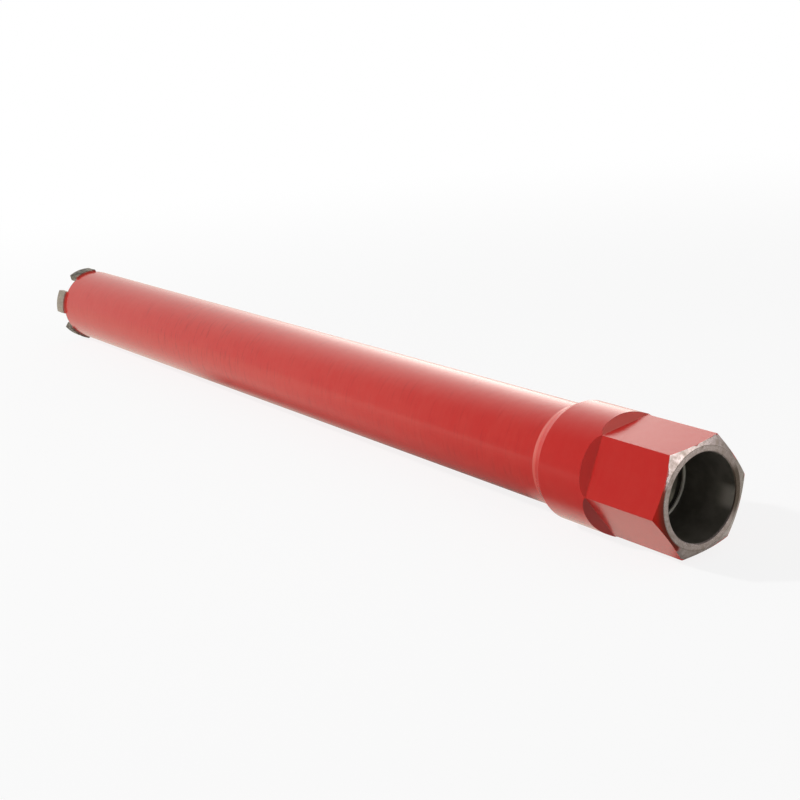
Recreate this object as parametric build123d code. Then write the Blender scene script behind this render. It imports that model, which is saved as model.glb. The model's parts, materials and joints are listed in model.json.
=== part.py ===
"""Diamond core bit for wet drilling: a threaded hub, a steel barrel and a crown of diamond segments.

The bit lies along X with the hub's mouth at the origin, opening towards +X, and +Z is up.
Angles round the axis are measured from +Z towards +Y. All sizes are in millimetres.
"""
import math
import os

from build123d import *

# Hub: a round bar, turned and bored, with six milled flats
FLATS_COUNT = 6
FLATS_WIDTH = 41.0           # across the flats, a standard spanner size
FIRST_EDGE_ANGLE = 24.5      # where the first edge between two flats lies
FLATS_LENGTH = 39.3          # from the mouth to the end of the milling
FLATS_ROOT_RADIUS = 5.0      # left by the cutter where each flat runs out
FLATS_EDGE_BREAK = 0.3       # radius on the edges between the flats
HUB_LENGTH = 62.0            # from the mouth to the end of the full bar diameter
COLLAR_STEP = 3.0            # how far the bar stands out over the barrel, on the radius
NOSE_ANGLE = 22.0            # slope of the nose chamfer against the end face
MOUTH_RIM = 2.6              # width of the turned ring round the mouth
MOUTH_BREAK = 0.4

# Bore of the hub: a plain pilot bore, then the spindle thread, then the water passage
PILOT_DIAMETER = 33.7
PILOT_DEPTH = 24.5
THREAD_DIAMETER = 31.75      # 1 1/4 inch, at the roots of the thread
THREAD_LENGTH = 30.0
THREAD_LEAD_IN = 0.6
PASSAGE_DIAMETER = 27.0
DRILL_HALF_ANGLE = 59.0      # of the cone that the drill leaves behind the thread

# Joint of hub and barrel: a spigot inside, and a weld that carries on the hub's taper outside
HUB_TAPER_LENGTH = 3.5
HUB_TAPER_DEPTH = 1.5
WELD_LENGTH = 3.5
WELD_HOLLOW = 0.1            # how far its face sinks towards the corner, as a share of the way
SPIGOT_LENGTH = 12.0
SPIGOT_CLEARANCE = 0.05
SPIGOT_CHAMFER = 1.0

# Barrel
BARREL_DIAMETER = 42.0
BARREL_WALL = 2.0
BARREL_LENGTH = 461.5

# Crown: diamond segments, brazed on to the barrel's rim by hand
SEGMENT_COUNT = 5
SEGMENT_WIDTH = 13.75        # straight across, between two parallel ends
SEGMENT_HEIGHT = 10.0
SEGMENT_OUTSIDE = 1.25       # proud of the barrel's outside
SEGMENT_INSIDE = 0.25        # proud of the barrel's bore
SEGMENT_EDGE_RADIUS = 0.5
FIRST_SEGMENT_ANGLE = 284.0
NARROW_PITCH = 66.0          # on both sides of the first segment; the others share the rest
BRAZE_THICKNESS = 0.2
BRAZE_FILLET = 0.8
BRAZE_HOLLOW = 0.3           # as for the weld

# Radii and stations along the axis that several pieces share
barrel_radius = BARREL_DIAMETER / 2
barrel_bore_radius = barrel_radius - BARREL_WALL
bar_radius = barrel_radius + COLLAR_STEP
hub_end_radius = bar_radius - HUB_TAPER_DEPTH
joint_x = -(HUB_LENGTH + HUB_TAPER_LENGTH)
rim_x = joint_x - BARREL_LENGTH
segment_base_x = rim_x - BRAZE_THICKNESS
segment_outer_radius = barrel_radius + SEGMENT_OUTSIDE
segment_inner_radius = barrel_bore_radius - SEGMENT_INSIDE


def turned(outline):
    """Solid of revolution about X from a closed outline of (x, radius) points or lines."""
    return revolve(make_face(outline), axis=Axis.X)


def turned_to(angle, piece):
    """Piece that was made at the top of the bit, carried round the axis to an angle."""
    return Rot(X=-angle) * piece


def hollow_face(start, corner, end, share):
    """Face of a fillet from start to end, sunk towards its corner by a share of the way."""
    middle = (Vector(start) + Vector(end)) * 0.5
    return ThreePointArc(start, middle + (Vector(corner) - middle) * share, end)


def hub_blank():
    """Hub as it leaves the lathe, still round outside."""
    pilot_radius = PILOT_DIAMETER / 2
    thread_radius = THREAD_DIAMETER / 2
    passage_radius = PASSAGE_DIAMETER / 2
    nose_radius = pilot_radius + MOUTH_RIM
    nose_length = (bar_radius - nose_radius) * math.tan(math.radians(NOSE_ANGLE))
    spigot_radius = barrel_bore_radius - SPIGOT_CLEARANCE
    spigot_end_x = joint_x - SPIGOT_LENGTH
    thread_end_x = -(PILOT_DEPTH + THREAD_LENGTH)
    drill_cone = (thread_radius - passage_radius) / math.tan(math.radians(DRILL_HALF_ANGLE))
    outside = [
        (0, nose_radius),
        (-nose_length, bar_radius),
        (-HUB_LENGTH, bar_radius),
        (joint_x, hub_end_radius),
        (joint_x, spigot_radius),
        (spigot_end_x + SPIGOT_CHAMFER, spigot_radius),
        (spigot_end_x, spigot_radius - SPIGOT_CHAMFER),
    ]
    inside = [
        (spigot_end_x, passage_radius),
        (thread_end_x - drill_cone, passage_radius),
        (thread_end_x, thread_radius),
        (-(PILOT_DEPTH + THREAD_LEAD_IN), thread_radius),
        (-PILOT_DEPTH, thread_radius + THREAD_LEAD_IN),
        (-PILOT_DEPTH, pilot_radius),
        (-MOUTH_BREAK, pilot_radius),
        (0, pilot_radius + MOUTH_BREAK),
    ]
    return turned(Polyline(*outside, *inside, close=True))


def flat_cutter():
    """What the milling cutter takes off for a flat at the top, with its radius at the root."""
    overrun = 2 * FLATS_ROOT_RADIUS
    length = FLATS_LENGTH + overrun
    height = max(bar_radius - FLATS_WIDTH / 2, 0) + overrun
    width = 2 * bar_radius + overrun
    corner = (-FLATS_LENGTH, 0, FLATS_WIDTH / 2)
    block = Pos(*corner) * Box(length, width, height, align=(Align.MIN, Align.CENTER, Align.MIN))
    root = block.edges().filter_by(Axis.Y).group_by(Axis.Z)[0].sort_by(Axis.X)[0]
    return fillet(root, FLATS_ROOT_RADIUS)


def make_hub():
    """Turned hub with its milled flats."""
    hub = hub_blank()
    cutter = flat_cutter()
    step = 360 / FLATS_COUNT
    for index in range(FLATS_COUNT):
        hub -= turned_to(FIRST_EDGE_ANGLE + step * (index + 0.5), cutter)
    flats_radius = FLATS_WIDTH / 2
    edges = [edge for edge in hub.edges().filter_by(Axis.X)
             if math.hypot(edge.center().Y, edge.center().Z) > flats_radius]
    return fillet(edges, FLATS_EDGE_BREAK)


def make_barrel():
    """Plain steel tube that butts against the hub."""
    corners = [
        (joint_x, barrel_bore_radius),
        (joint_x, barrel_radius),
        (rim_x, barrel_radius),
        (rim_x, barrel_bore_radius),
    ]
    return turned(Polyline(*corners, close=True))


def make_hub_weld():
    """Ring of weld in the corner between the hub's end and the barrel, with a hollow face."""
    corner = (joint_x, barrel_radius)
    on_hub = (joint_x, hub_end_radius)
    on_barrel = (joint_x - WELD_LENGTH, barrel_radius)
    legs = Polyline(on_barrel, corner, on_hub)
    return turned(legs + hollow_face(on_hub, corner, on_barrel, WELD_HOLLOW))


def crown_slot():
    """Space of a segment's width at the top of the bit, between two parallel sides."""
    overrun = 2 * BRAZE_FILLET
    length = SEGMENT_HEIGHT + BRAZE_THICKNESS + 2 * overrun
    height = segment_outer_radius + overrun
    box = Box(length, SEGMENT_WIDTH, height, align=(Align.MAX, Align.CENTER, Align.MIN))
    return Pos(rim_x + overrun, 0, 0) * box


def make_segment():
    """Sintered diamond segment at the top of the bit, with its tip and side edges rounded."""
    tip_x = segment_base_x - SEGMENT_HEIGHT
    corners = [
        (segment_base_x, segment_inner_radius),
        (segment_base_x, segment_outer_radius),
        (tip_x, segment_outer_radius),
        (tip_x, segment_inner_radius),
    ]
    segment = turned(Polyline(*corners, close=True)) & crown_slot()
    edges = segment.edges()
    rounded = edges.filter_by(Axis.X) + edges.group_by(Axis.X)[0]
    return fillet(rounded, SEGMENT_EDGE_RADIUS)


def make_braze():
    """Braze under a segment at the top of the bit, with a hollow fillet on the barrel."""
    on_barrel = (rim_x + BRAZE_FILLET, barrel_radius)
    on_segment = (segment_base_x, barrel_radius + BRAZE_FILLET)
    corner = (segment_base_x, barrel_radius)
    layer = Polyline(
        on_segment,
        (segment_base_x, barrel_bore_radius),
        (rim_x, barrel_bore_radius),
        (rim_x, barrel_radius),
        on_barrel,
    )
    face = hollow_face(on_barrel, corner, on_segment, BRAZE_HOLLOW)
    return turned(layer + face) & crown_slot()


def segment_angles():
    """Angle of each segment: a narrow pitch beside the first one, even pitches for the rest."""
    pitch = (360 - 2 * NARROW_PITCH) / (SEGMENT_COUNT - 2)
    angles = [FIRST_SEGMENT_ANGLE]
    for index in range(SEGMENT_COUNT - 1):
        angles.append(FIRST_SEGMENT_ANGLE + NARROW_PITCH + pitch * index)
    return angles


def make_pieces():
    """Every piece of the bit, by the name of its node."""
    pieces = {
        "hub": make_hub(),
        "barrel": make_barrel(),
        "hub_weld": make_hub_weld(),
    }
    segment = make_segment()
    braze = make_braze()
    for number, angle in enumerate(segment_angles(), start=1):
        pieces[f"segment_{number}"] = turned_to(angle, segment)
        pieces[f"segment_braze_{number}"] = turned_to(angle, braze)
    return pieces


os.makedirs("parts", exist_ok=True)
for name, piece in make_pieces().items():
    export_step(piece, f"parts/{name}.step")
    print(name, "volume", round(piece.volume, 1))
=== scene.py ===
"""Finishes a diamond core bit for wet drilling: enamel, bare steel, spindle thread and crown.

The bit lies along X with its hub's mouth at the origin, opening towards +X, and +Z is up. All
lengths are in metres unless a name says otherwise. Angles round the axis run from +Z towards +Y.
"""
import json
import math
import random

import bmesh
import bpy
from bpy.props import FloatProperty, FloatVectorProperty, IntProperty, PointerProperty
from mathutils import Matrix, Vector


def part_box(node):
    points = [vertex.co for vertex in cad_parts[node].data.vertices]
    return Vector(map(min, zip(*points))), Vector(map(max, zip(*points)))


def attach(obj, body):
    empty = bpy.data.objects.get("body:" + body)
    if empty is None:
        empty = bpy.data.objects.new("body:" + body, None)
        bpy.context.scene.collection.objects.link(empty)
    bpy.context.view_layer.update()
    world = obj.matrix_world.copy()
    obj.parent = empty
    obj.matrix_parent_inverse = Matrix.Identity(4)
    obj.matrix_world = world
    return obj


bl_info = {
    "name": "Diamond Core Bit",
    "version": (1, 0, 0),
    "blender": (4, 5, 0),
    "location": "3D View > Sidebar > Core Bit",
    "description": "Finishes a diamond core bit and sets it on a studio floor",
    "category": "Object",
}

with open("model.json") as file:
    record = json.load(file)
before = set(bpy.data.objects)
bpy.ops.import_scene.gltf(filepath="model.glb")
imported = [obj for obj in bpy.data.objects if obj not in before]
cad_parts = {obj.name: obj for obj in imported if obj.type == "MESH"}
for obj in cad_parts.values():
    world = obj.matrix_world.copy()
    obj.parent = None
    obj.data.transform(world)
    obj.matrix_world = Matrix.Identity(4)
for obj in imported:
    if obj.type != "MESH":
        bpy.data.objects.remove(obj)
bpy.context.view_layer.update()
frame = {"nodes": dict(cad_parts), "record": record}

MM = 0.001
INCH = 25.4 * MM
BODY = "root"
NODES = sorted(frame["nodes"])
BRAZES = [name for name in NODES if name.startswith("segment_braze_")]
SEGMENTS = [name for name in NODES if name.startswith("segment_") and name not in BRAZES]

# Where the hub's surfaces meet, as distances from the mouth along the axis and from the axis
MOUNTS = {mount["name"]: mount for mount in frame["record"]["mounts"]}
PILOT_RADIUS = MOUNTS["pilot_bore"]["dims"]["r_mm"] * MM
THREAD_ROOT_RADIUS = MOUNTS["spindle_thread"]["dims"]["r_mm"] * MM
THREAD_START = MOUNTS["spindle_thread"]["pos_m"][0]
THREAD_LENGTH = MOUNTS["spindle_thread"]["dims"]["length_mm"] * MM
RING_RADIUS = 19.45 * MM             # outer edge of the turned ring round the mouth
NOSE_SLOPE = math.tan(math.radians(22.0))
FLAT_ANGLES = (54.5, 114.5, 174.5)   # one of each pair of flats, in degrees
FLATS_RADIUS = 20.5 * MM             # from the axis to a flat
CORNER_RADIUS = 23.6 * MM            # of the corners between the flats on the nose
BAR_RADIUS = 24.0 * MM
FLATS_ROOT = -34.3 * MM              # where each flat starts to curve up
RUN_OUT = -35.8 * MM                 # where the shading of each flat starts to slope up
RUN_OUT_SLOPE = math.radians(48.0)
TAPER_START = -62.0 * MM             # where the collar starts to taper down to the barrel

# Sides and places that look different
PAINTED_SIDE = math.radians(257.0)   # the nose still has its enamel
STAINED_SIDE = math.radians(94.0)    # the ring round the mouth is stained
DARKER_NOSE_SIDE = math.radians(80.0)  # the bare nose is darker
BORE_HIGHLIGHT_SIDE = math.radians(106.0)     # a highlight is painted on the bore's wall
LIT_SEGMENT_SIDE = math.radians(284.0)     # the segments are lit there; elsewhere they get painted shade
SMEARED = -345.0 * MM                # the barrel is smeared most

# Colours of marks on the bit and of painted light and shade on it, beside the settings below
SMEAR = (0.3, 0.008, 0.008, 1.0)
# enamel paled as a painted highlight, on the weld and the braze
SHEEN_ENAMEL = (0.62, 0.12, 0.09, 1.0)
ENAMEL_BY_RING = (0.17, 0.03, 0.02, 1.0)
ENAMEL_ON_NOSE = (0.5, 0.02, 0.014, 1.0)
# painted shade and painted highlight in the run-outs of the flats
RUN_OUT_SHADE = (0.32, 0.01, 0.008, 1.0)
RUN_OUT_SIDE_LIGHT = (0.72, 0.022, 0.014, 1.0)
RUN_OUT_HIGHLIGHT = (0.85, 0.12, 0.095, 1.0)
STAIN_AND_SHADE = (0.06, 0.045, 0.035, 1.0)
THIN_OIL = (0.15, 0.135, 0.115, 1.0)
# a painted highlight on the bore's wall
BORE_HIGHLIGHT = (0.36, 0.33, 0.29, 1.0)
# polished steel, brightened as a painted highlight
POLISHED_AND_LIT_STEEL = (0.75, 0.72, 0.68, 1.0)
CREST_STEEL = (0.3, 0.285, 0.26, 1.0)
SILVER = (0.4, 0.33, 0.24, 1.0)
TARNISH = (0.25, 0.14, 0.08, 1.0)
# painted shade on the crown
PAINTED_SHADE = (0.045, 0.036, 0.03, 1.0)
# overspray, its red lightened partly as a painted highlight
OVERSPRAY_WITH_SHEEN = (0.72, 0.13, 0.1, 1.0)
TAN_GRAIN = (0.5, 0.41, 0.31, 1.0)
GREEN_DIAMOND = (0.34, 0.36, 0.2, 1.0)
STRAW_DIAMOND = (0.6, 0.55, 0.3, 1.0)
CLOUDY_DIAMOND = (0.25, 0.24, 0.2, 1.0)

# Colours of the studio
WHITE = (1.0, 1.0, 1.0, 1.0)
WARM_WALL = (1.0, 0.98, 0.91, 1.0)
WARM_PAPER = (1.0, 0.98, 0.86, 1.0)
DARK_FIBRE = (0.82, 0.82, 0.82, 1.0)
PALE_FIBRE = (0.86, 0.86, 0.86, 1.0)


# ---------------- settings

def color_setting(name, description, default):
    """Setting for an opaque colour."""
    return FloatVectorProperty(name=name, description=description, subtype="COLOR", size=4,
                               min=0.0, max=1.0, default=default)


class EnamelSettings(bpy.types.PropertyGroup):
    """Red enamel on the outside of the bit."""
    color: color_setting(
        "Enamel Color", "Colour where the enamel is thick", (0.5, 0.015, 0.012, 1.0))
    thin_color: color_setting(
        "Thin Enamel Color", "Colour where the enamel is thin over the steel",
        (0.53, 0.035, 0.026, 1.0))
    roughness: FloatProperty(
        name="Roughness", description="Gloss of the enamel, from mirror to matt",
        subtype="FACTOR", min=0.0, max=1.0, default=0.2)
    peel: FloatProperty(
        name="Orange Peel", description="Height of the fine waves that spraying leaves",
        unit="LENGTH", min=0.0, max=0.001, default=0.00002, precision=6)


class SteelSettings(bpy.types.PropertyGroup):
    """Steel that is left bare round the mouth and in the bore."""
    color: color_setting(
        "Turned Steel Color", "Colour of the turned face and nose", (0.35, 0.298, 0.31, 1.0))
    stain_color: color_setting(
        "Stain Color", "Colour of the brown film on bare steel", (0.16, 0.125, 0.105, 1.0))
    bore_color: color_setting(
        "Bore Color", "Colour of the oiled wall of the bore", (0.1, 0.092, 0.075, 1.0))


class ThreadSettings(bpy.types.PropertyGroup):
    """Spindle thread in the hub."""
    turns_per_inch: FloatProperty(
        name="Turns per Inch", description="Number of turns of the thread in an inch",
        min=1.0, max=40.0, default=7.0)
    crest_radius: FloatProperty(
        name="Crest Radius", description="Radius of the hole between the crests",
        unit="LENGTH", min=0.001, max=0.1, default=0.0141, precision=5)


class CrownSettings(bpy.types.PropertyGroup):
    """Diamond segments on the rim."""
    bond_color: color_setting(
        "Bond Color", "Colour of the sintered metal", (0.5, 0.43, 0.37, 1.0))
    pit_color: color_setting(
        "Pit Color", "Colour in the pores of the sintered metal", (0.12, 0.1, 0.085, 1.0))
    crystals: IntProperty(
        name="Crystals per Segment", description="How many diamonds show on a segment",
        min=0, max=400, default=110)
    crystal_size: FloatProperty(
        name="Crystal Size", description="Largest width of a diamond",
        unit="LENGTH", min=0.0001, max=0.002, default=0.0005, precision=5)


class StudioSettings(bpy.types.PropertyGroup):
    """Camera and floor."""
    camera_place: FloatVectorProperty(
        name="Camera Place", description="Where the camera stands",
        subtype="TRANSLATION", unit="LENGTH", default=(0.3490, -0.3591, 0.1895))
    camera_target: FloatVectorProperty(
        name="Camera Target", description="Point that the camera looks at",
        subtype="TRANSLATION", unit="LENGTH", default=(-0.1296, -0.0387, 0.0210))
    camera_roll: FloatProperty(
        name="Camera Roll", description="Turn of the camera about its line of sight",
        subtype="ANGLE", default=math.radians(-5.11))
    camera_lens: FloatProperty(
        name="Camera Lens", description="Focal length in millimetres on a 36 mm sensor",
        min=10.0, max=300.0, default=66.18)
    floor_radius: FloatProperty(
        name="Floor Radius", description="Radius of the round floor",
        unit="LENGTH", min=0.5, max=20.0, default=6.0)


SETTINGS = {
    "core_bit_enamel": EnamelSettings,
    "core_bit_steel": SteelSettings,
    "core_bit_thread": ThreadSettings,
    "core_bit_crown": CrownSettings,
    "core_bit_studio": StudioSettings,
}


# ---------------- node sheets

# Sockets of a Mix node for each kind of data: its two inputs and its output
MIX_SOCKETS = {"FLOAT": (2, 3, 0), "VECTOR": (4, 5, 1), "RGBA": (6, 7, 2)}


class NodeSheet:
    """A node tree with short calls that add a node and join its inputs."""

    def __init__(self, tree):
        self.tree = tree
        self.count = 0

    def add(self, kind, settings=None, **inputs):
        """New node, with values or sockets for its inputs by name."""
        node = self.tree.nodes.new(kind)
        node.location = (220 * (self.count % 12), -320 * (self.count // 12))
        self.count += 1
        for name, value in (settings or {}).items():
            setattr(node, name, value)
        self.fill(node.inputs, **inputs)
        return node

    def fill(self, sockets, **values):
        """Values into sockets by name, with underscores for spaces."""
        for name, value in values.items():
            self.join(sockets[name.replace("_", " ")], value)

    def join(self, socket, value):
        """Value, or the output socket it comes from, goes into an input socket."""
        if isinstance(value, bpy.types.NodeSocket):
            self.tree.links.new(value, socket)
        else:
            socket.default_value = value

    def join_all(self, sockets, values):
        """Values go into sockets in their order."""
        for socket, value in zip(sockets, values):
            self.join(socket, value)

    def math(self, operation, *values, clamp=False):
        """Result of a Math node."""
        node = self.add("ShaderNodeMath", {"operation": operation, "use_clamp": clamp})
        self.join_all(node.inputs, values)
        return node.outputs[0]

    def chain(self, operation, values):
        """Values taken together by Math nodes, from the first one on."""
        result = values[0]
        for value in values[1:]:
            result = self.math(operation, result, value)
        return result

    def plus(self, *values):
        """Sum of values."""
        return self.chain("ADD", values)

    def minus(self, value, taken):
        """Difference of two values."""
        return self.math("SUBTRACT", value, taken)

    def times(self, *values):
        """Product of values."""
        return self.chain("MULTIPLY", values)

    def most(self, *values):
        """Largest of values."""
        return self.chain("MAXIMUM", values)

    def vector(self, operation, *values, scale=None):
        """Result of a Vector Math node."""
        node = self.add("ShaderNodeVectorMath", {"operation": operation})
        self.join_all(node.inputs, values)
        if scale is not None:
            self.join(node.inputs["Scale"], scale)
        return node.outputs["Value" if operation in ("DOT_PRODUCT", "LENGTH") else "Vector"]

    def dot(self, first, second):
        """Dot product of two vectors."""
        return self.vector("DOT_PRODUCT", first, second)

    def split(self, vector):
        """Parts of a vector, by the names X, Y and Z."""
        return self.add("ShaderNodeSeparateXYZ", Vector=vector).outputs

    def combined(self, **parts):
        """Vector made of parts along X, Y and Z."""
        return self.add("ShaderNodeCombineXYZ", **parts).outputs[0]

    def place(self):
        """Place on a piece, in the bit's own coordinates."""
        return self.add("ShaderNodeTexCoord").outputs["Object"]

    def span(self, value, low, high, to_low=0.0, to_high=1.0):
        """Value carried smoothly from one range to another, and held beyond its ends."""
        node = self.add("ShaderNodeMapRange", {"interpolation_type": "SMOOTHSTEP"})
        self.fill(
            node.inputs, Value=value, From_Min=low, From_Max=high, To_Min=to_low, To_Max=to_high)
        return node.outputs["Result"]

    def fall(self, value, low, high):
        """Mask that falls smoothly from 1 at a low value to 0 at a high one."""
        return self.span(value, low, high, 1.0, 0.0)

    def mix(self, kind, factor, first, second):
        """Result of a Mix node between two values, vectors or colours."""
        one, other, result = MIX_SOCKETS[kind]
        node = self.add("ShaderNodeMix", {"data_type": kind})
        sockets = (node.inputs[0], node.inputs[one], node.inputs[other])
        self.join_all(sockets, (factor, first, second))
        return node.outputs[result]

    def blend(self, factor, first, second):
        """Colour between two colours."""
        return self.mix("RGBA", factor, first, second)

    def mix_shaders(self, factor, first, second):
        """Shader between two shaders."""
        node = self.add("ShaderNodeMixShader")
        self.join_all(node.inputs, (factor, first, second))
        return node.outputs[0]

    def noise(self, vector, scale, detail=2.0, roughness=0.5):
        """Plain noise from 0 to 1."""
        node = self.add(
            "ShaderNodeTexNoise", Vector=vector, Scale=scale, Detail=detail, Roughness=roughness)
        return node.outputs["Fac"]

    def effect(self, name, **inputs):
        """Outputs of a shared effect, placed with its own values."""
        return self.add("ShaderNodeGroup", {"node_tree": shared_group(name)}, **inputs).outputs


def new_group(name, inputs, outputs):
    """Empty shader node group with named sockets, its sheet, and its input and output nodes."""
    tree = bpy.data.node_groups.new(name, "ShaderNodeTree")
    for label, kind, default in inputs:
        socket = tree.interface.new_socket(name=label, in_out="INPUT", socket_type=kind)
        if default is not None:
            socket.default_value = default
    for label, kind in outputs:
        tree.interface.new_socket(name=label, in_out="OUTPUT", socket_type=kind)
    sheet = NodeSheet(tree)
    given = sheet.add("NodeGroupInput").outputs
    result = sheet.add("NodeGroupOutput").inputs
    return tree, sheet, given, result


def turned_to(angle):
    """Direction square to the axis, at an angle round it."""
    return Vector((0, math.sin(angle), math.cos(angle)))


# ---------------- shared effects

FLOAT = "NodeSocketFloat"
COLOR = "NodeSocketColor"
VECTOR = "NodeSocketVector"


def make_axis_group():
    """Distances from the bit's own mouth and axis, in metres."""
    tree, sheet, _, result = new_group(
        "Bit Coordinates", [],
        [("Place", VECTOR), ("Station", FLOAT), ("Radius", FLOAT), ("Outward", VECTOR)])
    place = sheet.place()
    parts = sheet.split(place)
    across = sheet.combined(Y=parts["Y"], Z=parts["Z"])
    sheet.fill(result, Place=place, Station=parts["X"], Radius=sheet.vector("LENGTH", across),
               Outward=sheet.vector("NORMALIZE", across))
    return tree


def make_flat_group():
    """Way to the nearest of the hub's flats: its direction, and how far out a place lies on it."""
    tree, sheet, _, result = new_group(
        "Nearest Flat", [], [("Direction", VECTOR), ("Distance", FLOAT)])
    place = sheet.place()
    nearest = Vector((0, 0, 0))
    furthest = 0.0
    for angle in FLAT_ANGLES:
        square = turned_to(math.radians(angle))
        out = sheet.dot(place, square)
        distance = sheet.math("ABSOLUTE", out)
        direction = sheet.vector("SCALE", square, scale=sheet.math("SIGN", out))
        further = sheet.math("GREATER_THAN", distance, furthest)
        nearest = sheet.mix("VECTOR", further, nearest, direction)
        furthest = sheet.most(distance, furthest)
    sheet.fill(result, Direction=nearest, Distance=furthest)
    return tree


def make_turning_group():
    """Fine rings that a lathe leaves round the axis, broken up a little round the circle."""
    tree, sheet, given, result = new_group(
        "Turned Marks",
        [("Lines per Metre", FLOAT, 2500.0), ("Drift", FLOAT, 30.0), ("Sharpness", FLOAT, 0.25)],
        [("Height", FLOAT), ("Tone", FLOAT)])
    axis = sheet.effect("axis")
    along = sheet.plus(axis["Station"], axis["Radius"])
    parts = sheet.split(axis["Place"])
    rings = sheet.combined(
        X=sheet.times(along, given["Lines per Metre"]), Y=sheet.times(parts["Y"], given["Drift"]),
        Z=sheet.times(parts["Z"], given["Drift"]))
    fine = sheet.noise(rings, scale=1.0, detail=3.0, roughness=0.6)
    broad = sheet.noise(rings, scale=0.13)
    both = sheet.plus(sheet.times(fine, 0.6), sheet.times(broad, 0.4))
    tone = sheet.span(
        both, sheet.minus(0.5, given["Sharpness"]), sheet.plus(0.5, given["Sharpness"]))
    sheet.fill(result, Height=fine, Tone=tone)
    return tree


def make_edge_group():
    """Normal that is eased over the edges within a radius."""
    tree, sheet, given, result = new_group(
        "Eased Edges", [("Radius", FLOAT, 0.0004)], [("Normal", VECTOR)])
    eased = sheet.add("ShaderNodeBevel", {"samples": 8}, Radius=given["Radius"])
    sheet.fill(result, Normal=eased.outputs[0])
    return tree


def make_enamel_group():
    """Sprayed enamel: its colour over the steel, its gloss and its orange peel."""
    tree, sheet, given, result = new_group(
        "Sprayed Enamel",
        [("Thick Color", COLOR, None), ("Thin Color", COLOR, None), ("Thinness", FLOAT, 0.3),
         ("Gloss Roughness", FLOAT, 0.3), ("Mottle Scale", FLOAT, 90.0), ("Streaks", FLOAT, 0.5)],
        [("Color", COLOR), ("Roughness", FLOAT), ("Height", FLOAT)])
    place = sheet.place()
    cloud = sheet.noise(place, scale=given["Mottle Scale"], detail=5.0, roughness=0.6)
    broad = sheet.noise(place, scale=14.0)
    patches = sheet.span(sheet.plus(sheet.times(cloud, 0.5), sheet.times(broad, 0.5)), 0.35, 0.68)
    uneven = sheet.plus(sheet.times(patches, 0.6), sheet.times(given["Streaks"], 0.4))
    thin = sheet.math("MULTIPLY", uneven, given["Thinness"], clamp=True)
    specks = sheet.span(sheet.noise(place, scale=2600.0, detail=1.0), 0.3, 0.7, -0.03, 0.05)
    waves = sheet.plus(sheet.times(sheet.noise(place, scale=1300.0), 0.35),
                       sheet.times(sheet.noise(place, scale=260.0, detail=1.0), 1.4))
    sheet.fill(result, Color=sheet.blend(thin, given["Thick Color"], given["Thin Color"]),
               Roughness=sheet.plus(given["Gloss Roughness"], specks), Height=waves)
    return tree


def make_steel_group():
    """Bare steel with a brown film in patches, marks of the tool and a fine grain."""
    tree, sheet, given, result = new_group(
        "Filmed Steel",
        [("Clean Color", COLOR, None), ("Film Color", COLOR, None), ("Film", FLOAT, 0.4),
         ("Scale", FLOAT, 450.0), ("Marks", FLOAT, 0.5), ("Dullness", FLOAT, 0.4)],
        [("Color", COLOR), ("Roughness", FLOAT), ("Height", FLOAT)])
    place = sheet.place()
    cloud = sheet.noise(place, scale=given["Scale"], detail=6.0, roughness=0.65)
    grain = sheet.noise(place, scale=3800.0)
    film = sheet.math("MULTIPLY", sheet.span(cloud, 0.36, 0.7), given["Film"], clamp=True)
    tone = sheet.math("ADD", film, sheet.times(given["Marks"], 0.25), clamp=True)
    sheet.fill(result, Color=sheet.blend(tone, given["Clean Color"], given["Film Color"]),
               Roughness=sheet.plus(given["Dullness"], sheet.times(film, 0.25)),
               Height=sheet.plus(sheet.times(given["Marks"], 0.6), sheet.times(grain, 0.4)))
    return tree


def make_sinter_group():
    """Sintered metal with pores and with grey and tan grains."""
    tree, sheet, given, result = new_group(
        "Sintered Metal",
        [("Bond Color", COLOR, None), ("Pit Color", COLOR, None), ("Grain Scale", FLOAT, 1600.0)],
        [("Color", COLOR), ("Roughness", FLOAT), ("Height", FLOAT)])
    place = sheet.place()
    grains = sheet.add("ShaderNodeTexVoronoi", Vector=place, Scale=given["Grain Scale"]).outputs
    cells = sheet.add("ShaderNodeSeparateColor", Color=grains["Color"]).outputs[0]
    cloud = sheet.noise(place, scale=420.0, detail=5.0, roughness=0.65)
    pores = sheet.span(sheet.noise(place, scale=2400.0, detail=3.0), 0.5, 0.68)
    toned = sheet.blend(
        sheet.times(sheet.span(cloud, 0.38, 0.66), 0.55), given["Bond Color"], TAN_GRAIN)
    grained = sheet.blend(sheet.times(cells, 0.22), toned, given["Pit Color"])
    sheet.fill(result, Color=sheet.blend(sheet.times(pores, 0.75), grained, given["Pit Color"]),
               Roughness=sheet.span(cells, 0.0, 1.0, 0.42, 0.62),
               Height=sheet.minus(sheet.times(grains["Distance"], 0.5), pores))
    return tree


# What builds each effect, and the groups built so far
EFFECTS = {
    "axis": make_axis_group,
    "flat": make_flat_group,
    "turning": make_turning_group,
    "edges": make_edge_group,
    "enamel": make_enamel_group,
    "steel": make_steel_group,
    "sinter": make_sinter_group,
}
built = {}


def shared_group(name):
    """Node group of a shared effect, built the first time it is asked for."""
    if name not in built:
        built[name] = EFFECTS[name]()
    return built[name]


# ---------------- materials

def new_material(name, shown_color):
    """Node material with a plain Principled shader; its sheet and the shader's inputs."""
    material = bpy.data.materials.new(name)
    material.use_nodes = True
    material.diffuse_color = shown_color
    material.node_tree.nodes.clear()
    sheet = NodeSheet(material.node_tree)
    shader = sheet.add("ShaderNodeBsdfPrincipled")
    output = sheet.add("ShaderNodeOutputMaterial")
    sheet.join(output.inputs["Surface"], shader.outputs[0])
    return material, sheet, shader.inputs


def bumped(sheet, height, distance, normal=None):
    """Normal of a surface with a height map, as high as a distance in metres."""
    bump = sheet.add("ShaderNodeBump", Height=height, Distance=distance)
    if normal is not None:
        sheet.join(bump.inputs["Normal"], normal)
    return bump.outputs[0]


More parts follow.
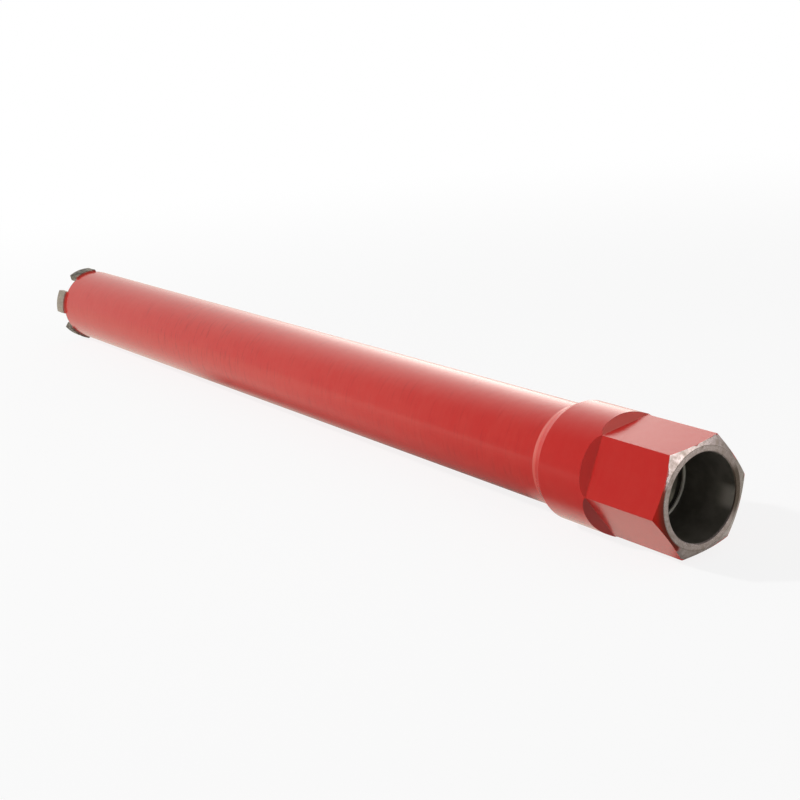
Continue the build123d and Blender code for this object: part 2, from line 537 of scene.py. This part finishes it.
def painted_steel(name, thinness, mottle_scale, turning_lines, turning_depth):
    """Enamel over turned steel: the material, its sheet and shader, the enamel and its relief."""
    enamel = bpy.context.scene.core_bit_enamel
    material, sheet, shader = new_material(name, enamel.color)
    turning = sheet.effect("turning", Lines_per_Metre=turning_lines)
    paint = sheet.effect(
        "enamel", Thick_Color=enamel.color, Thin_Color=enamel.thin_color, Thinness=thinness,
        Gloss_Roughness=enamel.roughness, Mottle_Scale=mottle_scale, Streaks=turning["Tone"])
    waves = bumped(sheet, paint["Height"], enamel.peel)
    normal = bumped(sheet, turning["Height"], turning_depth, waves)
    return material, sheet, shader, paint, normal


def make_barrel_material():
    """Enamel on the barrel, with bare steel at the rim and inside."""
    material, sheet, shader, paint, normal = painted_steel(
        "barrel_enamel", thinness=0.8, mottle_scale=120.0, turning_lines=2400.0,
        turning_depth=0.000012)
    steel = bpy.context.scene.core_bit_steel
    axis = sheet.effect("axis")
    bare = sheet.effect("steel", Clean_Color=steel.color, Film_Color=steel.stain_color, Film=0.7)
    lowest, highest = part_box("barrel")
    ragged = sheet.times(sheet.noise(axis["Place"], scale=700.0, detail=3.0), 0.0006)
    past_rim = sheet.minus(sheet.minus(axis["Station"], lowest.x), ragged)
    at_rim = sheet.fall(past_rim, -0.0003, 0.0002)
    inside = sheet.fall(axis["Radius"], highest.z - 0.0012, highest.z - 0.0009)
    uncoated = sheet.most(at_rim, inside)
    # fine dark smears run round the barrel, more of them round one place
    parts = sheet.split(axis["Outward"])
    around = sheet.combined(X=sheet.times(axis["Station"], 900.0), Y=sheet.times(parts["Y"], 2.2),
                            Z=sheet.times(parts["Z"], 2.2))
    streaks = sheet.span(sheet.noise(around, scale=1.0, detail=3.0), 0.52, 0.75)
    away = sheet.math("ABSOLUTE", sheet.minus(axis["Station"], SMEARED))
    smears = sheet.times(streaks, sheet.span(away, 0.02, 0.1, 0.75, 0.3))
    red = sheet.blend(smears, paint["Color"], SMEAR)
    sheet.fill(shader, Base_Color=sheet.blend(uncoated, red, bare["Color"]),
               Roughness=sheet.span(uncoated, 0.0, 1.0, paint["Roughness"], 0.5),
               Metallic=uncoated, Normal=normal)
    return material


def make_weld_material():
    """Enamel on the weld between hub and barrel, pale all over as a painted highlight."""
    material, sheet, shader, paint, normal = painted_steel(
        "weld_enamel", thinness=1.0, mottle_scale=260.0, turning_lines=1800.0,
        turning_depth=0.00001)
    sheet.fill(shader, Base_Color=sheet.blend(0.5, paint["Color"], SHEEN_ENAMEL),
               Roughness=paint["Roughness"], Normal=normal)
    return material


def nose_masks(sheet, axis, flat, past_ring):
    """Where the nose is turned bare, and where enamel is left on it."""
    behind = sheet.plus(axis["Station"], sheet.times(past_ring, NOSE_SLOPE))
    turned_off = sheet.span(behind, -0.00007, -0.00003)
    # flakes of enamel are left along the flats, and at the corners but for one side
    chips = sheet.noise(axis["Place"], scale=900.0, detail=4.0)
    flake = sheet.times(sheet.span(sheet.noise(axis["Place"], scale=130.0), 0.4, 0.7), chips)
    from_flat = sheet.minus(FLATS_RADIUS, flat["Distance"])
    off_flat = sheet.span(sheet.minus(from_flat, sheet.times(flake, 0.0014)), -0.0002, 0.0)
    cornered = sheet.plus(axis["Radius"], sheet.times(chips, 0.0009))
    across = sheet.dot(axis["Outward"], turned_to(STAINED_SIDE))
    off_corner = sheet.most(sheet.fall(cornered, CORNER_RADIUS - 0.0002, CORNER_RADIUS),
                            sheet.fall(across, -0.55, -0.45))
    flaked = sheet.times(off_flat, off_corner)
    # the enamel still covers one side of the nose
    side = sheet.dot(axis["Outward"], turned_to(PAINTED_SIDE))
    patchy = sheet.times(sheet.noise(axis["Place"], scale=260.0, detail=4.0), 0.3)
    covered = sheet.times(
        sheet.span(sheet.minus(side, patchy), 0.6, 0.68), sheet.span(past_ring, 0.0, 0.0002))
    bare = sheet.times(turned_off, flaked, sheet.minus(1.0, covered))
    return bare, sheet.times(covered, turned_off)


def run_out_masks(sheet, axis):
    """Where the flats are cut into the round bar, and where they slope up to the collar."""
    cut_away = sheet.times(
        sheet.span(axis["Station"], TAPER_START, TAPER_START + 0.002),
        sheet.fall(axis["Radius"], BAR_RADIUS - 0.0001, BAR_RADIUS - 0.00005))
    sloping = sheet.span(axis["Station"], RUN_OUT + 0.0001, RUN_OUT - 0.0001)
    return cut_away, sloping


def run_out_painted_light(sheet, flat):
    """Painted shade and light in the run-outs: dark underneath and pale on top."""
    up = sheet.dot(flat["Direction"], Vector((0, 0, 1)))
    shaded = sheet.blend(sheet.span(up, -0.4, -0.3), RUN_OUT_SHADE, RUN_OUT_SIDE_LIGHT)
    return sheet.blend(sheet.span(up, 0.7, 0.8), shaded, RUN_OUT_HIGHLIGHT)


def run_out_normal(sheet, flat, sloping):
    """Normal of a plane slope with a crisp foot, though the surface itself curves up."""
    out = sheet.vector("SCALE", flat["Direction"], scale=math.cos(RUN_OUT_SLOPE))
    slope = sheet.vector("ADD", out, Vector((math.sin(RUN_OUT_SLOPE), 0, 0)))
    shown = sheet.mix("VECTOR", sloping, flat["Direction"], slope)
    settings = {"vector_type": "NORMAL", "convert_from": "OBJECT", "convert_to": "WORLD"}
    return sheet.add("ShaderNodeVectorTransform", settings, Vector=shown).outputs[0]


def bore_look(sheet, axis, bore_color):
    """Masks of the bore, of the oil in it and of the thread's first edge; colour of the wall."""
    in_bore = sheet.fall(axis["Radius"], PILOT_RADIUS + 0.0003, PILOT_RADIUS + 0.00045)
    oiled = sheet.times(in_bore, sheet.fall(axis["Station"], -0.0006, -0.0002))
    thin = sheet.span(sheet.noise(axis["Place"], scale=130.0, detail=3.0), 0.35, 0.7)
    color = sheet.blend(thin, bore_color, THIN_OIL)
    # a highlight is painted on a patch of the wall near the mouth, and the thread's first edge is
    # polished steel brightened as a painted highlight
    highlight_side = sheet.dot(axis["Outward"], turned_to(BORE_HIGHLIGHT_SIDE))
    painted_highlight = sheet.times(
        sheet.span(highlight_side, 0.95, 1.0), sheet.span(axis["Station"], -0.01, -0.0025))
    color = sheet.blend(painted_highlight, color, BORE_HIGHLIGHT)
    # the thread's first edge is polished steel, brightened as a painted highlight
    lead_in = sheet.times(
        sheet.math("COMPARE", axis["Station"], THREAD_START, 0.0007),
        sheet.fall(axis["Radius"], THREAD_ROOT_RADIUS + 0.0005, THREAD_ROOT_RADIUS + 0.0007))
    return in_bore, oiled, lead_in, sheet.blend(lead_in, color, POLISHED_AND_LIT_STEEL)


def stain_and_shade_mask(sheet, axis, past_ring):
    """Where the bare steel is dark: a stain on the ring, painted shade along its groove, and one
    side of the nose.
    """
    across = sheet.dot(axis["Outward"], turned_to(STAINED_SIDE))
    inner = sheet.span(axis["Radius"], PILOT_RADIUS + 0.0021, PILOT_RADIUS + 0.0025, 1.0, 0.3)
    stained = sheet.times(sheet.span(across, 0.76, 0.95, 0.0, 0.95), inner)
    # painted shade: a dark line along the groove at the ring's edge
    from_groove = sheet.math("ABSOLUTE", sheet.minus(axis["Radius"], RING_RADIUS - 0.0001))
    groove = sheet.span(from_groove, 0.0, 0.00025, 0.5, 0.0)
    darker_side = sheet.dot(axis["Outward"], turned_to(DARKER_NOSE_SIDE))
    darker_nose = sheet.times(
        sheet.span(darker_side, 0.4, 0.9), sheet.span(past_ring, 0.0, 0.0003, 0.25, 0.5))
    return sheet.most(stained, groove, darker_nose)


def make_hub_material():
    """Enamel outside, turned bare steel on the nose and the mouth's ring, oiled steel inside."""
    material, sheet, shader, paint, normal = painted_steel(
        "hub_enamel", thinness=0.45, mottle_scale=160.0, turning_lines=1500.0,
        turning_depth=0.000006)
    steel = bpy.context.scene.core_bit_steel
    axis = sheet.effect("axis")
    flat = sheet.effect("flat")
    marks = sheet.effect("turning", Lines_per_Metre=5200.0, Drift=60.0)
    bare = sheet.effect("steel", Clean_Color=steel.color, Film_Color=steel.stain_color,
                        Film=0.6, Marks=marks["Tone"], Dullness=0.26)
    past_ring = sheet.most(sheet.minus(axis["Radius"], RING_RADIUS), 0.0)
    nose, enamel_left = nose_masks(sheet, axis, flat, past_ring)
    cut_away, sloping = run_out_masks(sheet, axis)
    run_out = sheet.times(cut_away, sloping)
    in_bore, oiled, lead_in, wall_color = bore_look(sheet, axis, steel.bore_color)
    uncoated = sheet.most(nose, in_bore)

    # the run-outs get painted shade underneath and a painted highlight on top
    red = sheet.blend(run_out, paint["Color"], run_out_painted_light(sheet, flat))
    # the enamel left on the nose is darker towards the ring
    enamel_left_color = sheet.blend(sheet.span(past_ring, 0.0003, 0.0032), ENAMEL_BY_RING, ENAMEL_ON_NOSE)
    red = sheet.blend(enamel_left, red, enamel_left_color)
    bare_color = sheet.blend(stain_and_shade_mask(sheet, axis, past_ring), bare["Color"], STAIN_AND_SHADE)
    steel_color = sheet.blend(oiled, bare_color, wall_color)
    dulled = sheet.most(enamel_left, sheet.times(run_out, 0.9))
    coat_roughness = sheet.span(dulled, 0.0, 1.0, paint["Roughness"], 0.55)
    steel_roughness = sheet.span(oiled, 0.0, 1.0, bare["Roughness"], 0.42)
    under_oil = sheet.math("SUBTRACT", oiled, lead_in, clamp=True)
    shine = sheet.times(uncoated, sheet.span(under_oil, 0.0, 1.0, 0.95, 0.4))
    relief = bumped(sheet, sheet.times(bare["Height"], nose), 0.00006, normal)
    in_root = sheet.times(sheet.span(axis["Station"], FLATS_ROOT + 0.0002, FLATS_ROOT), cut_away)
    # the enamelled side of the nose reflects almost as much as bare steel
    sheet.fill(shader, Base_Color=sheet.blend(uncoated, red, steel_color),
               Roughness=sheet.span(uncoated, 0.0, 1.0, coat_roughness, steel_roughness),
               Metallic=sheet.most(sheet.times(enamel_left, 0.9), shine),
               Normal=sheet.mix("VECTOR", in_root, relief, run_out_normal(sheet, flat, sloping)))
    return material


def make_braze_material():
    """Enamel that has run over the braze, with silver where it is thin."""
    material, sheet, shader, paint, normal = painted_steel(
        "braze", thinness=0.6, mottle_scale=400.0, turning_lines=1200.0, turning_depth=0.00002)
    silver = sheet.effect("steel", Clean_Color=SILVER, Film_Color=TARNISH, Film=0.8)
    coordinates = sheet.add("ShaderNodeTexCoord").outputs
    beads = sheet.noise(coordinates["Object"], scale=700.0, detail=3.0)
    gaps = sheet.times(sheet.span(beads, 0.62, 0.7), 0.6)
    # painted shade darkens the braze at its ends, which face round the axis, and low down
    outward = sheet.effect("axis")["Outward"]
    sideways = sheet.vector("CROSS_PRODUCT", outward, Vector((1, 0, 0)))
    facing = sheet.dot(coordinates["Normal"], sideways)
    low = sheet.dot(outward, Vector((0, 0, -1)))
    braze_shade = sheet.most(sheet.span(low, 0.35, 0.6, 0.0, 0.8),
                       sheet.span(sheet.math("ABSOLUTE", facing), 0.5, 0.7, 0.0, 0.92))
    # the braze's enamel is partly paled as a painted highlight
    red = sheet.blend(braze_shade, sheet.blend(0.45, paint["Color"], SHEEN_ENAMEL), PAINTED_SHADE)
    sheet.fill(
        shader, Base_Color=sheet.blend(gaps, red, silver["Color"]), Roughness=paint["Roughness"],
        Metallic=gaps, Normal=bumped(sheet, beads, 0.00025, normal))
    return material


def make_segment_material():
    """Sintered metal with a band of overspray beside the braze."""
    crown = bpy.context.scene.core_bit_crown
    material, sheet, shader = new_material("diamond_segment", crown.bond_color)
    axis = sheet.effect("axis")
    sinter = sheet.effect("sinter", Bond_Color=crown.bond_color, Pit_Color=crown.pit_color)
    edges = sheet.effect("edges", Radius=0.0004)
    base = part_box(SEGMENTS[0])[1].x
    barrel_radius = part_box("barrel")[1].z
    ragged = sheet.times(sheet.noise(axis["Place"], scale=600.0, detail=4.0), 0.0007)
    from_base = sheet.minus(sheet.minus(base, axis["Station"]), ragged)
    spray = sheet.times(
        sheet.fall(from_base, -0.0002, 0.0002),
        sheet.fall(axis["Radius"], barrel_radius + 0.0005, barrel_radius + 0.0008))
    # painted shade darkens the segments in patches, but for one side
    lit_side = sheet.dot(axis["Outward"], turned_to(LIT_SEGMENT_SIDE))
    patches = sheet.noise(axis["Place"], scale=330.0, detail=3.0)
    segment_shade = sheet.times(
        sheet.span(lit_side, 0.6, 0.85, 0.95, 0.0), sheet.span(patches, 0.38, 0.55, 0.45, 1.0))
    toned = sheet.blend(segment_shade, sinter["Color"], PAINTED_SHADE)
    # the overspray is real paint, and its light red is partly a painted highlight
    sheet.fill(shader, Base_Color=sheet.blend(spray, toned, OVERSPRAY_WITH_SHEEN),
               Roughness=sinter["Roughness"], Metallic=sheet.span(spray, 0.0, 1.0, 0.5, 0.0),
               Normal=bumped(sheet, sinter["Height"], 0.00012, edges["Normal"]))
    return material


def make_crystal_material():
    """Small synthetic diamonds, grey green to straw yellow."""
    material, sheet, shader = new_material("diamond_grit", (0.5, 0.5, 0.3, 1.0))
    place = sheet.place()
    cells = sheet.add("ShaderNodeTexVoronoi", Vector=place, Scale=700.0).outputs
    tone = sheet.add("ShaderNodeSeparateColor", Color=cells["Color"]).outputs[1]
    stone = sheet.blend(tone, GREEN_DIAMOND, STRAW_DIAMOND)
    clouds = sheet.noise(place, scale=5000.0)
    cloudy = sheet.times(sheet.span(clouds, 0.4, 0.7), 0.5)
    sheet.fill(shader, Base_Color=sheet.blend(cloudy, stone, CLOUDY_DIAMOND),
               Roughness=sheet.span(clouds, 0.3, 0.7, 0.12, 0.4))
    shader["IOR"].default_value = 2.0
    return material


def make_thread_material():
    """Cut thread: bright on the crests, oily in the roots."""
    steel = bpy.context.scene.core_bit_steel
    material, sheet, shader = new_material("thread_steel", steel.bore_color)
    axis = sheet.effect("axis")
    marks = sheet.effect("turning", Lines_per_Metre=7000.0, Drift=90.0)
    bare = sheet.effect("steel", Clean_Color=CREST_STEEL, Film_Color=steel.bore_color,
                        Film=0.9, Marks=marks["Tone"], Dullness=0.3)
    crest = bpy.context.scene.core_bit_thread.crest_radius
    low = sheet.span(axis["Radius"], crest + 0.0002, crest + 0.0009)
    sheet.fill(shader, Base_Color=sheet.blend(low, bare["Color"], steel.bore_color),
               Roughness=bare["Roughness"], Normal=bumped(sheet, bare["Height"], 0.00005))
    shader["Metallic"].default_value = 0.9
    return material


# ---------------- pieces

def finish_nodes(names, material):
    """CAD nodes with a new material in each of their slots."""
    for name in names:
        slots = frame["nodes"][name].material_slots
        if not slots:
            raise RuntimeError(f"{name} has no material slot")
        for place in slots:
            place.material = material


def new_object(name, data):
    """Object in the scene for a mesh, a lamp or a camera."""
    thing = bpy.data.objects.new(name, data)
    bpy.context.scene.collection.objects.link(thing)
    return thing


def add_piece(name, mesh, material):
    """New piece that rides with the bit."""
    mesh.materials.append(material)
    piece = new_object(name, mesh)
    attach(piece, BODY)
    return piece


def new_mesh(name, shape):
    """Mesh made from a finished shape."""
    mesh = bpy.data.meshes.new(name)
    shape.to_mesh(mesh)
    shape.free()
    return mesh


def thread_shape(thread):
    """Right-handed ridge that winds inwards from the thread's start, and fades in and out."""
    # the ridge is seven eighths of a pitch wide at its foot, and a quarter at its crest
    pitch = INCH / thread.turns_per_inch
    foot_half = pitch * 7 / 16
    crest_half = pitch / 8
    wall = THREAD_ROOT_RADIUS + 0.05 * MM
    height = wall - thread.crest_radius
    per_turn = 72
    turns_of_fade = 0.3
    least_rise = 0.02
    turns = (THREAD_LENGTH - 2 * foot_half) / pitch
    shape = bmesh.new()
    last = None
    for step in range(round(turns * per_turn) + 1):
        turn = step / per_turn
        rise = min(turn, turns - turn, turns_of_fade) / turns_of_fade
        crest = wall - height * max(math.sin(rise * math.pi / 2), least_rise)
        half = crest_half + (foot_half - crest_half) * (1 - rise) * 0.5
        middle = THREAD_START - foot_half - turn * pitch
        outward = turned_to(-turn * math.tau)
        profile = ((foot_half, wall), (half, crest), (-half, crest), (-foot_half, wall))
        row = [shape.verts.new(outward * radius + Vector((middle + along, 0, 0)))
               for along, radius in profile]
        if last is None:
            shape.faces.new(row)
        else:
            for index in range(len(row)):
                after = (index + 1) % len(row)
                shape.faces.new((last[index], last[after], row[after], row[index]))
        last = row
    shape.faces.new(reversed(last))
    bmesh.ops.recalc_face_normals(shape, faces=shape.faces)
    return shape


def ease_crests(piece):
    """Narrow bevel on the thread's sharp edges."""
    ease = piece.modifiers.new("Eased Crests", "BEVEL")
    ease.width = 0.12 * MM
    ease.segments = 2
    ease.limit_method = "ANGLE"
    ease.angle_limit = math.radians(25)


def diamonds_shape(name, crown, chance):
    """Small cubes with cut corners, sunk at random in a segment's outside, inside and ends."""
    solid = frame["nodes"][name].data
    solid.calc_loop_triangles()
    lowest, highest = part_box(name)
    faces = [face for face in solid.loop_triangles if abs(face.normal.x) < 0.3]
    areas = [face.area for face in faces]
    shape = bmesh.new()
    for face in chance.choices(faces, weights=areas, k=crown.crystals):
        corners = [solid.vertices[index].co for index in face.vertices]
        first, second = sorted((chance.random(), chance.random()))
        place = corners[0] * first + corners[1] * (second - first) + corners[2] * (1 - second)
        size = crown.crystal_size * chance.uniform(0.45, 1.0)
        # none stands over the tip, or near the braze
        if not lowest.x + size < place.x < highest.x - 2 * size:
            continue
        turn = Matrix.Rotation(chance.uniform(0, math.tau), 4, "Z")
        tip = Matrix.Rotation(chance.uniform(0, math.tau), 4, "X")
        sunk = place - face.normal * size * chance.uniform(0.2, 0.42)
        seat = Matrix.Translation(sunk) @ turn @ tip
        made = bmesh.ops.create_cube(shape, size=size * 0.9, matrix=seat)
        bmesh.ops.bevel(shape, geom=made["verts"], offset=size * 0.3, segments=1, affect="VERTICES")
    return shape


# ---------------- studio

def aim(thing, target, roll=0.0):
    """Turns a camera or lamp to look at a point, with its own top up."""
    direction = Vector(target) - thing.location
    turn = direction.to_track_quat("-Z", "Y").to_matrix() @ Matrix.Rotation(roll, 3, "Z")
    thing.rotation_euler = turn.to_euler()


def add_lamp(place, width, power):
    """Square soft box that looks at the mouth, and that glossy surfaces don't mirror."""
    data = bpy.data.lights.new("soft_box_key", "AREA")
    data.shape = "RECTANGLE"
    data.size = width
    data.size_y = width
    data.energy = power
    data.spread = math.radians(60)
    lamp = new_object("soft_box_key", data)
    lamp.location = place
    lamp.visible_glossy = False
    aim(lamp, (0, 0, 0))


def place_camera(studio):
    """Camera of the scene, where the studio's settings put it."""
    data = bpy.data.cameras.new("camera")
    data.lens = studio.camera_lens
    data.sensor_width = 36.0
    data.clip_start = 0.01
    data.clip_end = 50.0
    camera = new_object("camera", data)
    camera.location = studio.camera_place
    aim(camera, studio.camera_target, studio.camera_roll)
    bpy.context.scene.camera = camera


def lay_floor(radius):
    """Round floor, tilted so that the bit rests on its collar's end and its lowest segment."""
    collar_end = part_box("hub_weld")[1].x
    collar_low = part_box("hub")[0].z
    crown = min((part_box(name) for name in SEGMENTS), key=lambda corners: corners[0].z)
    slope = (crown[0].z - collar_low) / (collar_end - crown[0].x)
    shape = bmesh.new()
    bmesh.ops.create_circle(shape, cap_ends=True, segments=96, radius=radius)
    mesh = new_mesh("studio_floor", shape)
    mesh.materials.append(make_floor_material())
    floor = new_object("studio_floor", mesh)
    floor.rotation_euler = (0, math.atan(slope), 0)
    floor.location = (0, 0, collar_low + slope * collar_end)


def end_wall_light(sheet, bearing):
    """Light from low down: white paper closes the studio beyond the crown, the rest is dark."""
    return sheet.span(bearing, -0.95, -0.62, 0.95, 0.08)


def mirrored_paper(sheet, place, along, across):
    """Brightness of the floor as the bit mirrors it: the bit keeps the light off much of it."""
    bearing = sheet.split(sheet.vector("NORMALIZE", place))["X"]
    # far out on the camera's side the paper looks like the studio beyond it
    beside = sheet.mix("FLOAT", sheet.span(across, -0.6, -0.12), end_wall_light(sheet, bearing),
                       sheet.span(along, -0.4, -0.05, 0.9, 0.25))
    # under the bit it is brighter at the hub and the crown, and along the barrel's low edge
    under_hub = sheet.times(sheet.span(along, -0.1, -0.075), sheet.fall(along, -0.012, -0.003))
    ends = sheet.most(under_hub, sheet.fall(along, -0.4, -0.31))
    low_edge = sheet.times(
        sheet.span(across, -0.017, -0.01), sheet.span(along, -0.3, -0.14, 0.36, 0.0))
    under = sheet.most(ends, sheet.plus(low_edge, 0.26))
    near = sheet.mix("FLOAT", sheet.span(across, -0.032, -0.018), beside, under)
    before_mouth = sheet.times(
        sheet.span(along, -0.004, 0.003), sheet.span(across, -0.014, -0.006, 0.0, 0.75))
    return sheet.most(near, before_mouth, sheet.span(across, -0.005, 0.03))


def make_floor_material():
    """Pale paper that keeps a shadow near the bit and runs out into white."""
    material, sheet, shader = new_material("studio_paper", (0.9, 0.9, 0.9, 1.0))
    place = sheet.place()
    parts = sheet.split(place)
    along = parts["X"]
    fibres = sheet.noise(place, scale=900.0, detail=3.0)
    sheet.fill(shader, Base_Color=sheet.blend(fibres, DARK_FIBRE, PALE_FIBRE))
    shader["Roughness"].default_value = 0.9
    shader["Specular IOR Level"].default_value = 0.1
    seen = sheet.add("ShaderNodeLightPath").outputs
    glossy = seen["Is Glossy Ray"]
    mirrored = mirrored_paper(sheet, place, along, parts["Y"])
    unlit = sheet.times(glossy, sheet.minus(1.0, mirrored))
    glow = sheet.add("ShaderNodeEmission", Color=sheet.blend(glossy, WHITE, WARM_PAPER),
                     Strength=sheet.minus(1.0, unlit))
    # what the camera sees fades into white, and the bit mirrors nothing but the glow
    seen_straight = sheet.most(seen["Is Camera Ray"], seen["Is Transmission Ray"])
    to_camera = sheet.span(sheet.vector("LENGTH", place), 0.35, 1.1, 0.85, 1.0)
    # light gets in below the barrel, where the bit stands clear of the paper
    below = sheet.times(seen["Is Diffuse Ray"], sheet.span(along, -0.2, -0.08, 0.65, 0.0))
    white = sheet.math(
        "ADD", sheet.times(seen_straight, to_camera), sheet.plus(glossy, below), clamp=True)
    nodes = material.node_tree.nodes
    whole = sheet.mix_shaders(white, nodes["Principled BSDF"].outputs[0], glow.outputs[0])
    sheet.join(nodes["Material Output"].inputs["Surface"], whole)
    return material


def make_world():
    """White studio: even light for matt surfaces, and bright and dark sides for glossy ones."""
    world = bpy.data.worlds.new("studio_world")
    world.use_nodes = True
    world.node_tree.nodes.clear()
    sheet = NodeSheet(world.node_tree)
    seen = sheet.add("ShaderNodeLightPath").outputs
    towards = sheet.add("ShaderNodeTexCoord").outputs["Generated"]
    parts = sheet.split(towards)

    def card(direction, edge, middle, strength):
        """Light from round a direction, from nothing at the edge to full in the middle."""
        facing = sheet.dot(towards, Vector(direction).normalized())
        return sheet.span(facing, edge, middle, 0.0, strength)

    def background(color, strength):
        """Light of one colour from the world."""
        node = sheet.add("ShaderNodeBackground", Color=color, Strength=strength)
        return node.outputs[0]

    # a wide soft box stands low behind the bit and a small one beyond its mouth
    wide_box = card(direction=(-0.76, 0.63, 0.18), edge=0.4, middle=0.97, strength=2.3)
    small_box = card(direction=(0.92, 0.35, 0.17), edge=0.86, middle=0.98, strength=4.0)
    overhead = sheet.span(parts["Z"], 0.5, 0.85, 1.0, 0.4)
    narrowing = sheet.span(parts["X"], -0.8, -0.62, 1.0, 0.5)
    wide_box = sheet.times(wide_box, sheet.times(overhead, narrowing))
    backdrop = sheet.times(
        sheet.span(parts["Y"], 0.1, 0.6, 0.0, 1.2), sheet.fall(parts["Z"], 0.2, 0.65))
    behind = sheet.times(sheet.plus(wide_box, backdrop), sheet.span(parts["X"], -0.93, -0.72))
    mirrored = sheet.plus(end_wall_light(sheet, parts["X"]), sheet.plus(behind, small_box))
    fill = sheet.span(parts["Z"], 0.3, 1.0, 0.52, 0.3)
    plain = sheet.mix_shaders(
        seen["Is Diffuse Ray"], background(WHITE, 1.0), background(WHITE, fill))
    whole = sheet.mix_shaders(seen["Is Glossy Ray"], plain, background(WARM_WALL, mirrored))
    sheet.add("ShaderNodeOutputWorld", Surface=whole)
    return world


# ---------------- operators

class FinishBarrel(bpy.types.Operator):
    """Enamel the barrel and leave its rim and bore bare"""
    bl_idname = "core_bit.finish_barrel"
    bl_label = "Finish Barrel"

    def execute(self, context):
        finish_nodes(["barrel"], make_barrel_material())
        return {"FINISHED"}


class FinishHub(bpy.types.Operator):
    """Enamel the hub and leave its nose and bore bare"""
    bl_idname = "core_bit.finish_hub"
    bl_label = "Finish Hub"

    def execute(self, context):
        finish_nodes(["hub"], make_hub_material())
        return {"FINISHED"}


class FinishWeld(bpy.types.Operator):
    """Enamel the weld between hub and barrel"""
    bl_idname = "core_bit.finish_weld"
    bl_label = "Finish Weld"

    def execute(self, context):
        finish_nodes(["hub_weld"], make_weld_material())
        return {"FINISHED"}


class CutThread(bpy.types.Operator):
    """Cut the spindle thread in the hub, as one right-handed ridge that fades in and out"""
    bl_idname = "core_bit.cut_thread"
    bl_label = "Cut Thread"

    def execute(self, context):
        mesh = new_mesh("spindle_thread", thread_shape(context.scene.core_bit_thread))
        piece = add_piece("spindle_thread", mesh, make_thread_material())
        ease_crests(piece)
        return {"FINISHED"}


class FinishBraze(bpy.types.Operator):
    """Enamel the braze under the segments"""
    bl_idname = "core_bit.finish_braze"
    bl_label = "Finish Braze"

    def execute(self, context):
        finish_nodes(BRAZES, make_braze_material())
        return {"FINISHED"}


class FinishSegments(bpy.types.Operator):
    """Give the segments their sintered metal"""
    bl_idname = "core_bit.finish_segments"
    bl_label = "Finish Segments"

    def execute(self, context):
        finish_nodes(SEGMENTS, make_segment_material())
        return {"FINISHED"}


class SetDiamonds(bpy.types.Operator):
    """Set small diamonds in the outside, inside and ends of each segment"""
    bl_idname = "core_bit.set_diamonds"
    bl_label = "Set Diamonds"

    def execute(self, context):
        crown = context.scene.core_bit_crown
        material = make_crystal_material()
        for number, name in enumerate(SEGMENTS, start=1):
            shape = diamonds_shape(name, crown, random.Random(number))
            mesh = new_mesh(f"{name}_diamonds", shape)
            add_piece(f"{name}_diamonds", mesh, material)
        return {"FINISHED"}


class SetStage(bpy.types.Operator):
    """Lay a pale floor under the bit, and place the lamp and the camera"""
    bl_idname = "core_bit.set_stage"
    bl_label = "Set Stage"

    def execute(self, context):
        scene = context.scene
        studio = scene.core_bit_studio
        scene.view_settings.view_transform = "Standard"
        scene.world = make_world()
        lay_floor(studio.floor_radius)
        add_lamp(place=(-1.5, -1.3, 1.3), width=0.12, power=3.5)
        place_camera(studio)
        return {"FINISHED"}


STEPS = (FinishBarrel, FinishHub, FinishWeld, CutThread, FinishBraze, FinishSegments, SetDiamonds,
         SetStage)


class CoreBitPanel(bpy.types.Panel):
    """Lists the steps that finish the core bit"""
    bl_idname = "VIEW3D_PT_core_bit"
    bl_label = "Diamond Core Bit"
    bl_space_type = "VIEW_3D"
    bl_region_type = "UI"
    bl_category = "Core Bit"

    def draw(self, context):
        column = self.layout.column(align=True)
        for step in STEPS:
            column.operator(step.bl_idname)
        for name in SETTINGS:
            box = self.layout.box()
            group = getattr(context.scene, name)
            for setting in group.bl_rna.properties:
                if setting.identifier not in ("rna_type", "name"):
                    box.prop(group, setting.identifier)


def register():
    for name, group in SETTINGS.items():
        bpy.utils.register_class(group)
        setattr(bpy.types.Scene, name, PointerProperty(type=group))
    for step in STEPS:
        bpy.utils.register_class(step)
    bpy.utils.register_class(CoreBitPanel)


def unregister():
    bpy.utils.unregister_class(CoreBitPanel)
    for step in reversed(STEPS):
        bpy.utils.unregister_class(step)
    for name, group in SETTINGS.items():
        delattr(bpy.types.Scene, name)
        bpy.utils.unregister_class(group)


def main():
    register()
    bpy.ops.core_bit.finish_barrel()
    bpy.ops.core_bit.finish_hub()
    bpy.ops.core_bit.finish_weld()
    bpy.ops.core_bit.cut_thread()
    bpy.ops.core_bit.finish_braze()
    bpy.ops.core_bit.finish_segments()
    bpy.ops.core_bit.set_diamonds()
    bpy.ops.core_bit.set_stage()


if __name__ == "__main__":
    main()
